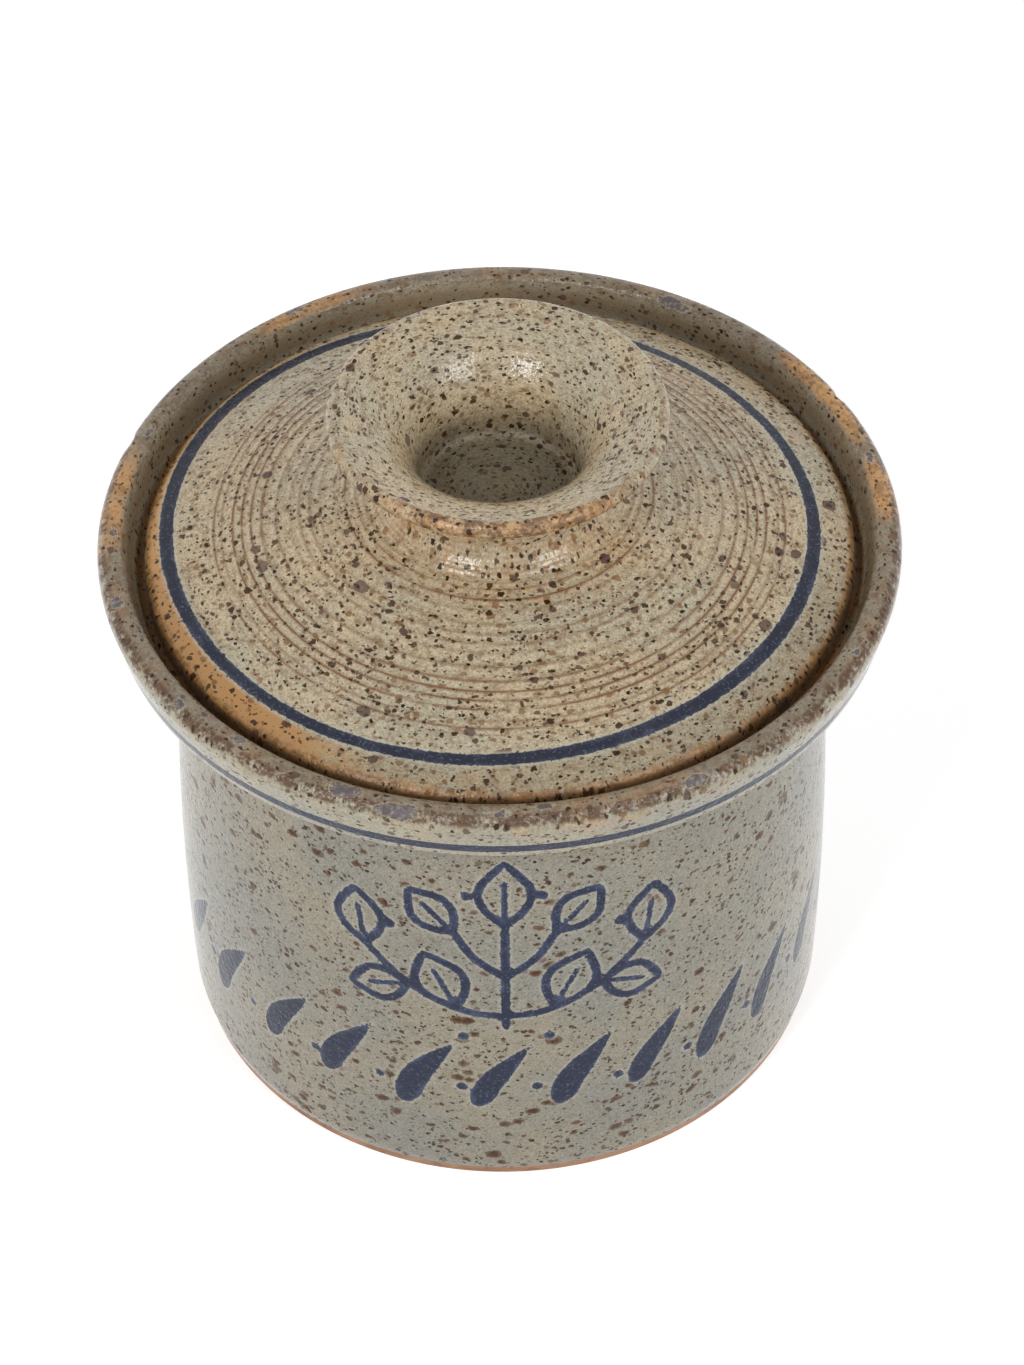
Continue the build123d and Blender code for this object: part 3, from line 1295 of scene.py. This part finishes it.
    def wave(self, terms: tuple[float, ...], around: np.ndarray) -> np.ndarray:
        """Adds up a brush line's mean and its waves around the lid."""
        turns = [np.radians(around) * number for number in range(1, len(terms) // 2 + 1)]
        return terms[0] + sum(even * np.cos(turn) + odd * np.sin(turn) for even, odd, turn
                              in zip(terms[1::2], terms[2::2], turns))


# ---- the studio ----


def heading(azimuth: float, elevation: float) -> Vector:
    """Finds the way out from the crock at two angles, in degrees.

    Args:
        azimuth: Angle round from the front.
        elevation: Angle up from level.

    Returns:
        The way, one metre long.
    """
    around, up = math.radians(azimuth), math.radians(elevation)
    level = math.cos(up)
    return Vector((math.sin(around) * level, -math.cos(around) * level, math.sin(up)))


@dataclass
class Softbox:
    """A soft rectangular light, aimed at the middle of the crock; its angles are in degrees."""

    name: str
    azimuth: float
    elevation: float
    width: float
    tall: float
    power: float
    distance: float = 1.3
    colour: Triple = (1.0, 1.0, 1.0)

    def hang(self) -> None:
        """Hangs the light."""
        away = heading(self.azimuth, self.elevation)
        bpy.ops.object.light_add(type="AREA", location=MIDDLE + away * self.distance)
        lamp = bpy.context.view_layer.objects.active
        lamp.name = lamp.data.name = self.name
        lamp.data.shape = "RECTANGLE"
        lamp.data.size, lamp.data.size_y = self.width, self.tall
        lamp.data.energy = self.power
        lamp.data.color = self.colour
        lamp.rotation_euler = (-away).to_track_quat("-Z", "Y").to_euler()


@dataclass
class Studio:
    """White floor, pale walls, a dim ceiling and two softboxes."""

    ceiling: float = 0.22
    walls: float = 1.5
    front: float = 0.17
    sides: float = 1.15
    back: float = 1.6
    floor_grey: float = 0.60
    floor_glow: float = 0.63
    floor_size: float = 6.0
    softboxes: tuple[Softbox, ...] = (
        Softbox("softbox_left", -32, 38, 0.34, 0.54, 7.3),
        Softbox("softbox_right", 43, 38, 0.34, 0.56, 5.4, colour=(0.94, 0.97, 1.0)),
    )

    def floor(self) -> None:
        """Lays the white floor, which keeps the crock's shadow."""
        bpy.ops.object.select_all(action="DESELECT")
        bpy.ops.mesh.primitive_plane_add(size=self.floor_size, location=(0, 0, 0))
        floor = bpy.context.view_layer.objects.active
        floor.name = floor.data.name = "studio_floor"
        material = bpy.data.materials.new("studio_floor")
        bench = Bench(material)
        grey = self.floor_grey
        plain = bench.out("ShaderNodeBsdfDiffuse", {"Color": (grey, grey, grey, 1)})
        glow = bench.out("ShaderNodeEmission", {"Color": WHITE, "Strength": self.floor_glow})
        white = bench.out("ShaderNodeAddShader", {0: plain, 1: glow})
        bench.end(self.seen(bench), plain, white)
        floor.data.materials.append(material)

    def seen(self, bench: Bench) -> Wire:
        """Finds the rays that see the surroundings straight, mirrored or through glass.

        Args:
            bench: The bench of the floor or of the walls.

        Returns:
            1 for such a ray.
        """
        path = bench.node("ShaderNodeLightPath")
        straight, mirrored, through = (
            bench.wire(path, f"Is {kind} Ray") for kind in ("Camera", "Glossy", "Transmission"))
        return bench.highest(bench.highest(straight, mirrored), through)

    def surroundings(self) -> None:
        """Lights the scene from its pale walls, most from the sides, and shows white."""
        world = bpy.data.worlds.new("surroundings")
        bench = Bench(world)
        across, behind, upward = bench.parts(bench.out("ShaderNodeTexCoord", output="Generated"))
        low = (1 - bench.highest(upward, 0.0)) ** 1.5
        rear = bench.highest(behind, 0.0)
        around = self.front + self.sides * across * across + self.back * rear * rear
        walls = bench.out("ShaderNodeBackground", {
            "Color": (self.ceiling + self.walls * low) * around, "Strength": 1.0})
        white = bench.out("ShaderNodeBackground", {"Color": WHITE, "Strength": 1.0})
        bench.end(self.seen(bench), walls, white)
        bpy.context.scene.world = world

    def set_up(self) -> None:
        """Lays the floor and hangs the lights."""
        self.floor()
        self.surroundings()
        for softbox in self.softboxes:
            softbox.hang()


@dataclass
class Viewpoint:
    """A long lens, looking down at the crock from the front; angles are in degrees."""

    distance: float = 0.8704
    height: float = 0.1059
    elevation: float = 43.96
    pan: float = 0.12
    tilt: float = -1.73
    roll: float = -0.78
    lens: float = 131.87
    sensor: float = 36.0

    def set_up(self) -> None:
        """Places the camera and makes it the scene's."""
        away = heading(0, self.elevation) * self.distance
        bpy.ops.object.camera_add(location=away + Vector((0, 0, self.height)))
        camera = bpy.context.view_layer.objects.active
        camera.name = camera.data.name = "viewpoint"
        turn = Matrix.Identity(3)
        for degrees, axis in ((90 - self.elevation, "X"), (-self.pan, "Y"), (self.tilt, "X"),
                              (self.roll, "Z")):
            turn = turn @ Matrix.Rotation(math.radians(degrees), 3, axis)
        camera.rotation_euler = turn.to_euler()
        camera.data.lens = self.lens
        camera.data.sensor_fit = "VERTICAL"
        camera.data.sensor_height = self.sensor
        bpy.context.scene.camera = camera


def main() -> None:
    """Builds the crock, its lid and the studio, and reports each piece."""
    logging.basicConfig(level=logging.INFO, format="%(name)s: %(message)s")
    makers = {"crock": (Crock(), "crock_glaze"), "lid": (Lid(), "lid_glaze")}
    for node, (maker, slot) in makers.items():
        piece = maker.build()
        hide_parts(node)
        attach(piece, node)
        LOG.info("%s: %d points, %d faces", piece.name, len(piece.data.vertices),
                 len(piece.data.polygons))
    Studio().set_up()
    Viewpoint().set_up()
    bpy.context.scene.view_settings.view_transform = "Standard"


if __name__ == "__main__":
    main()
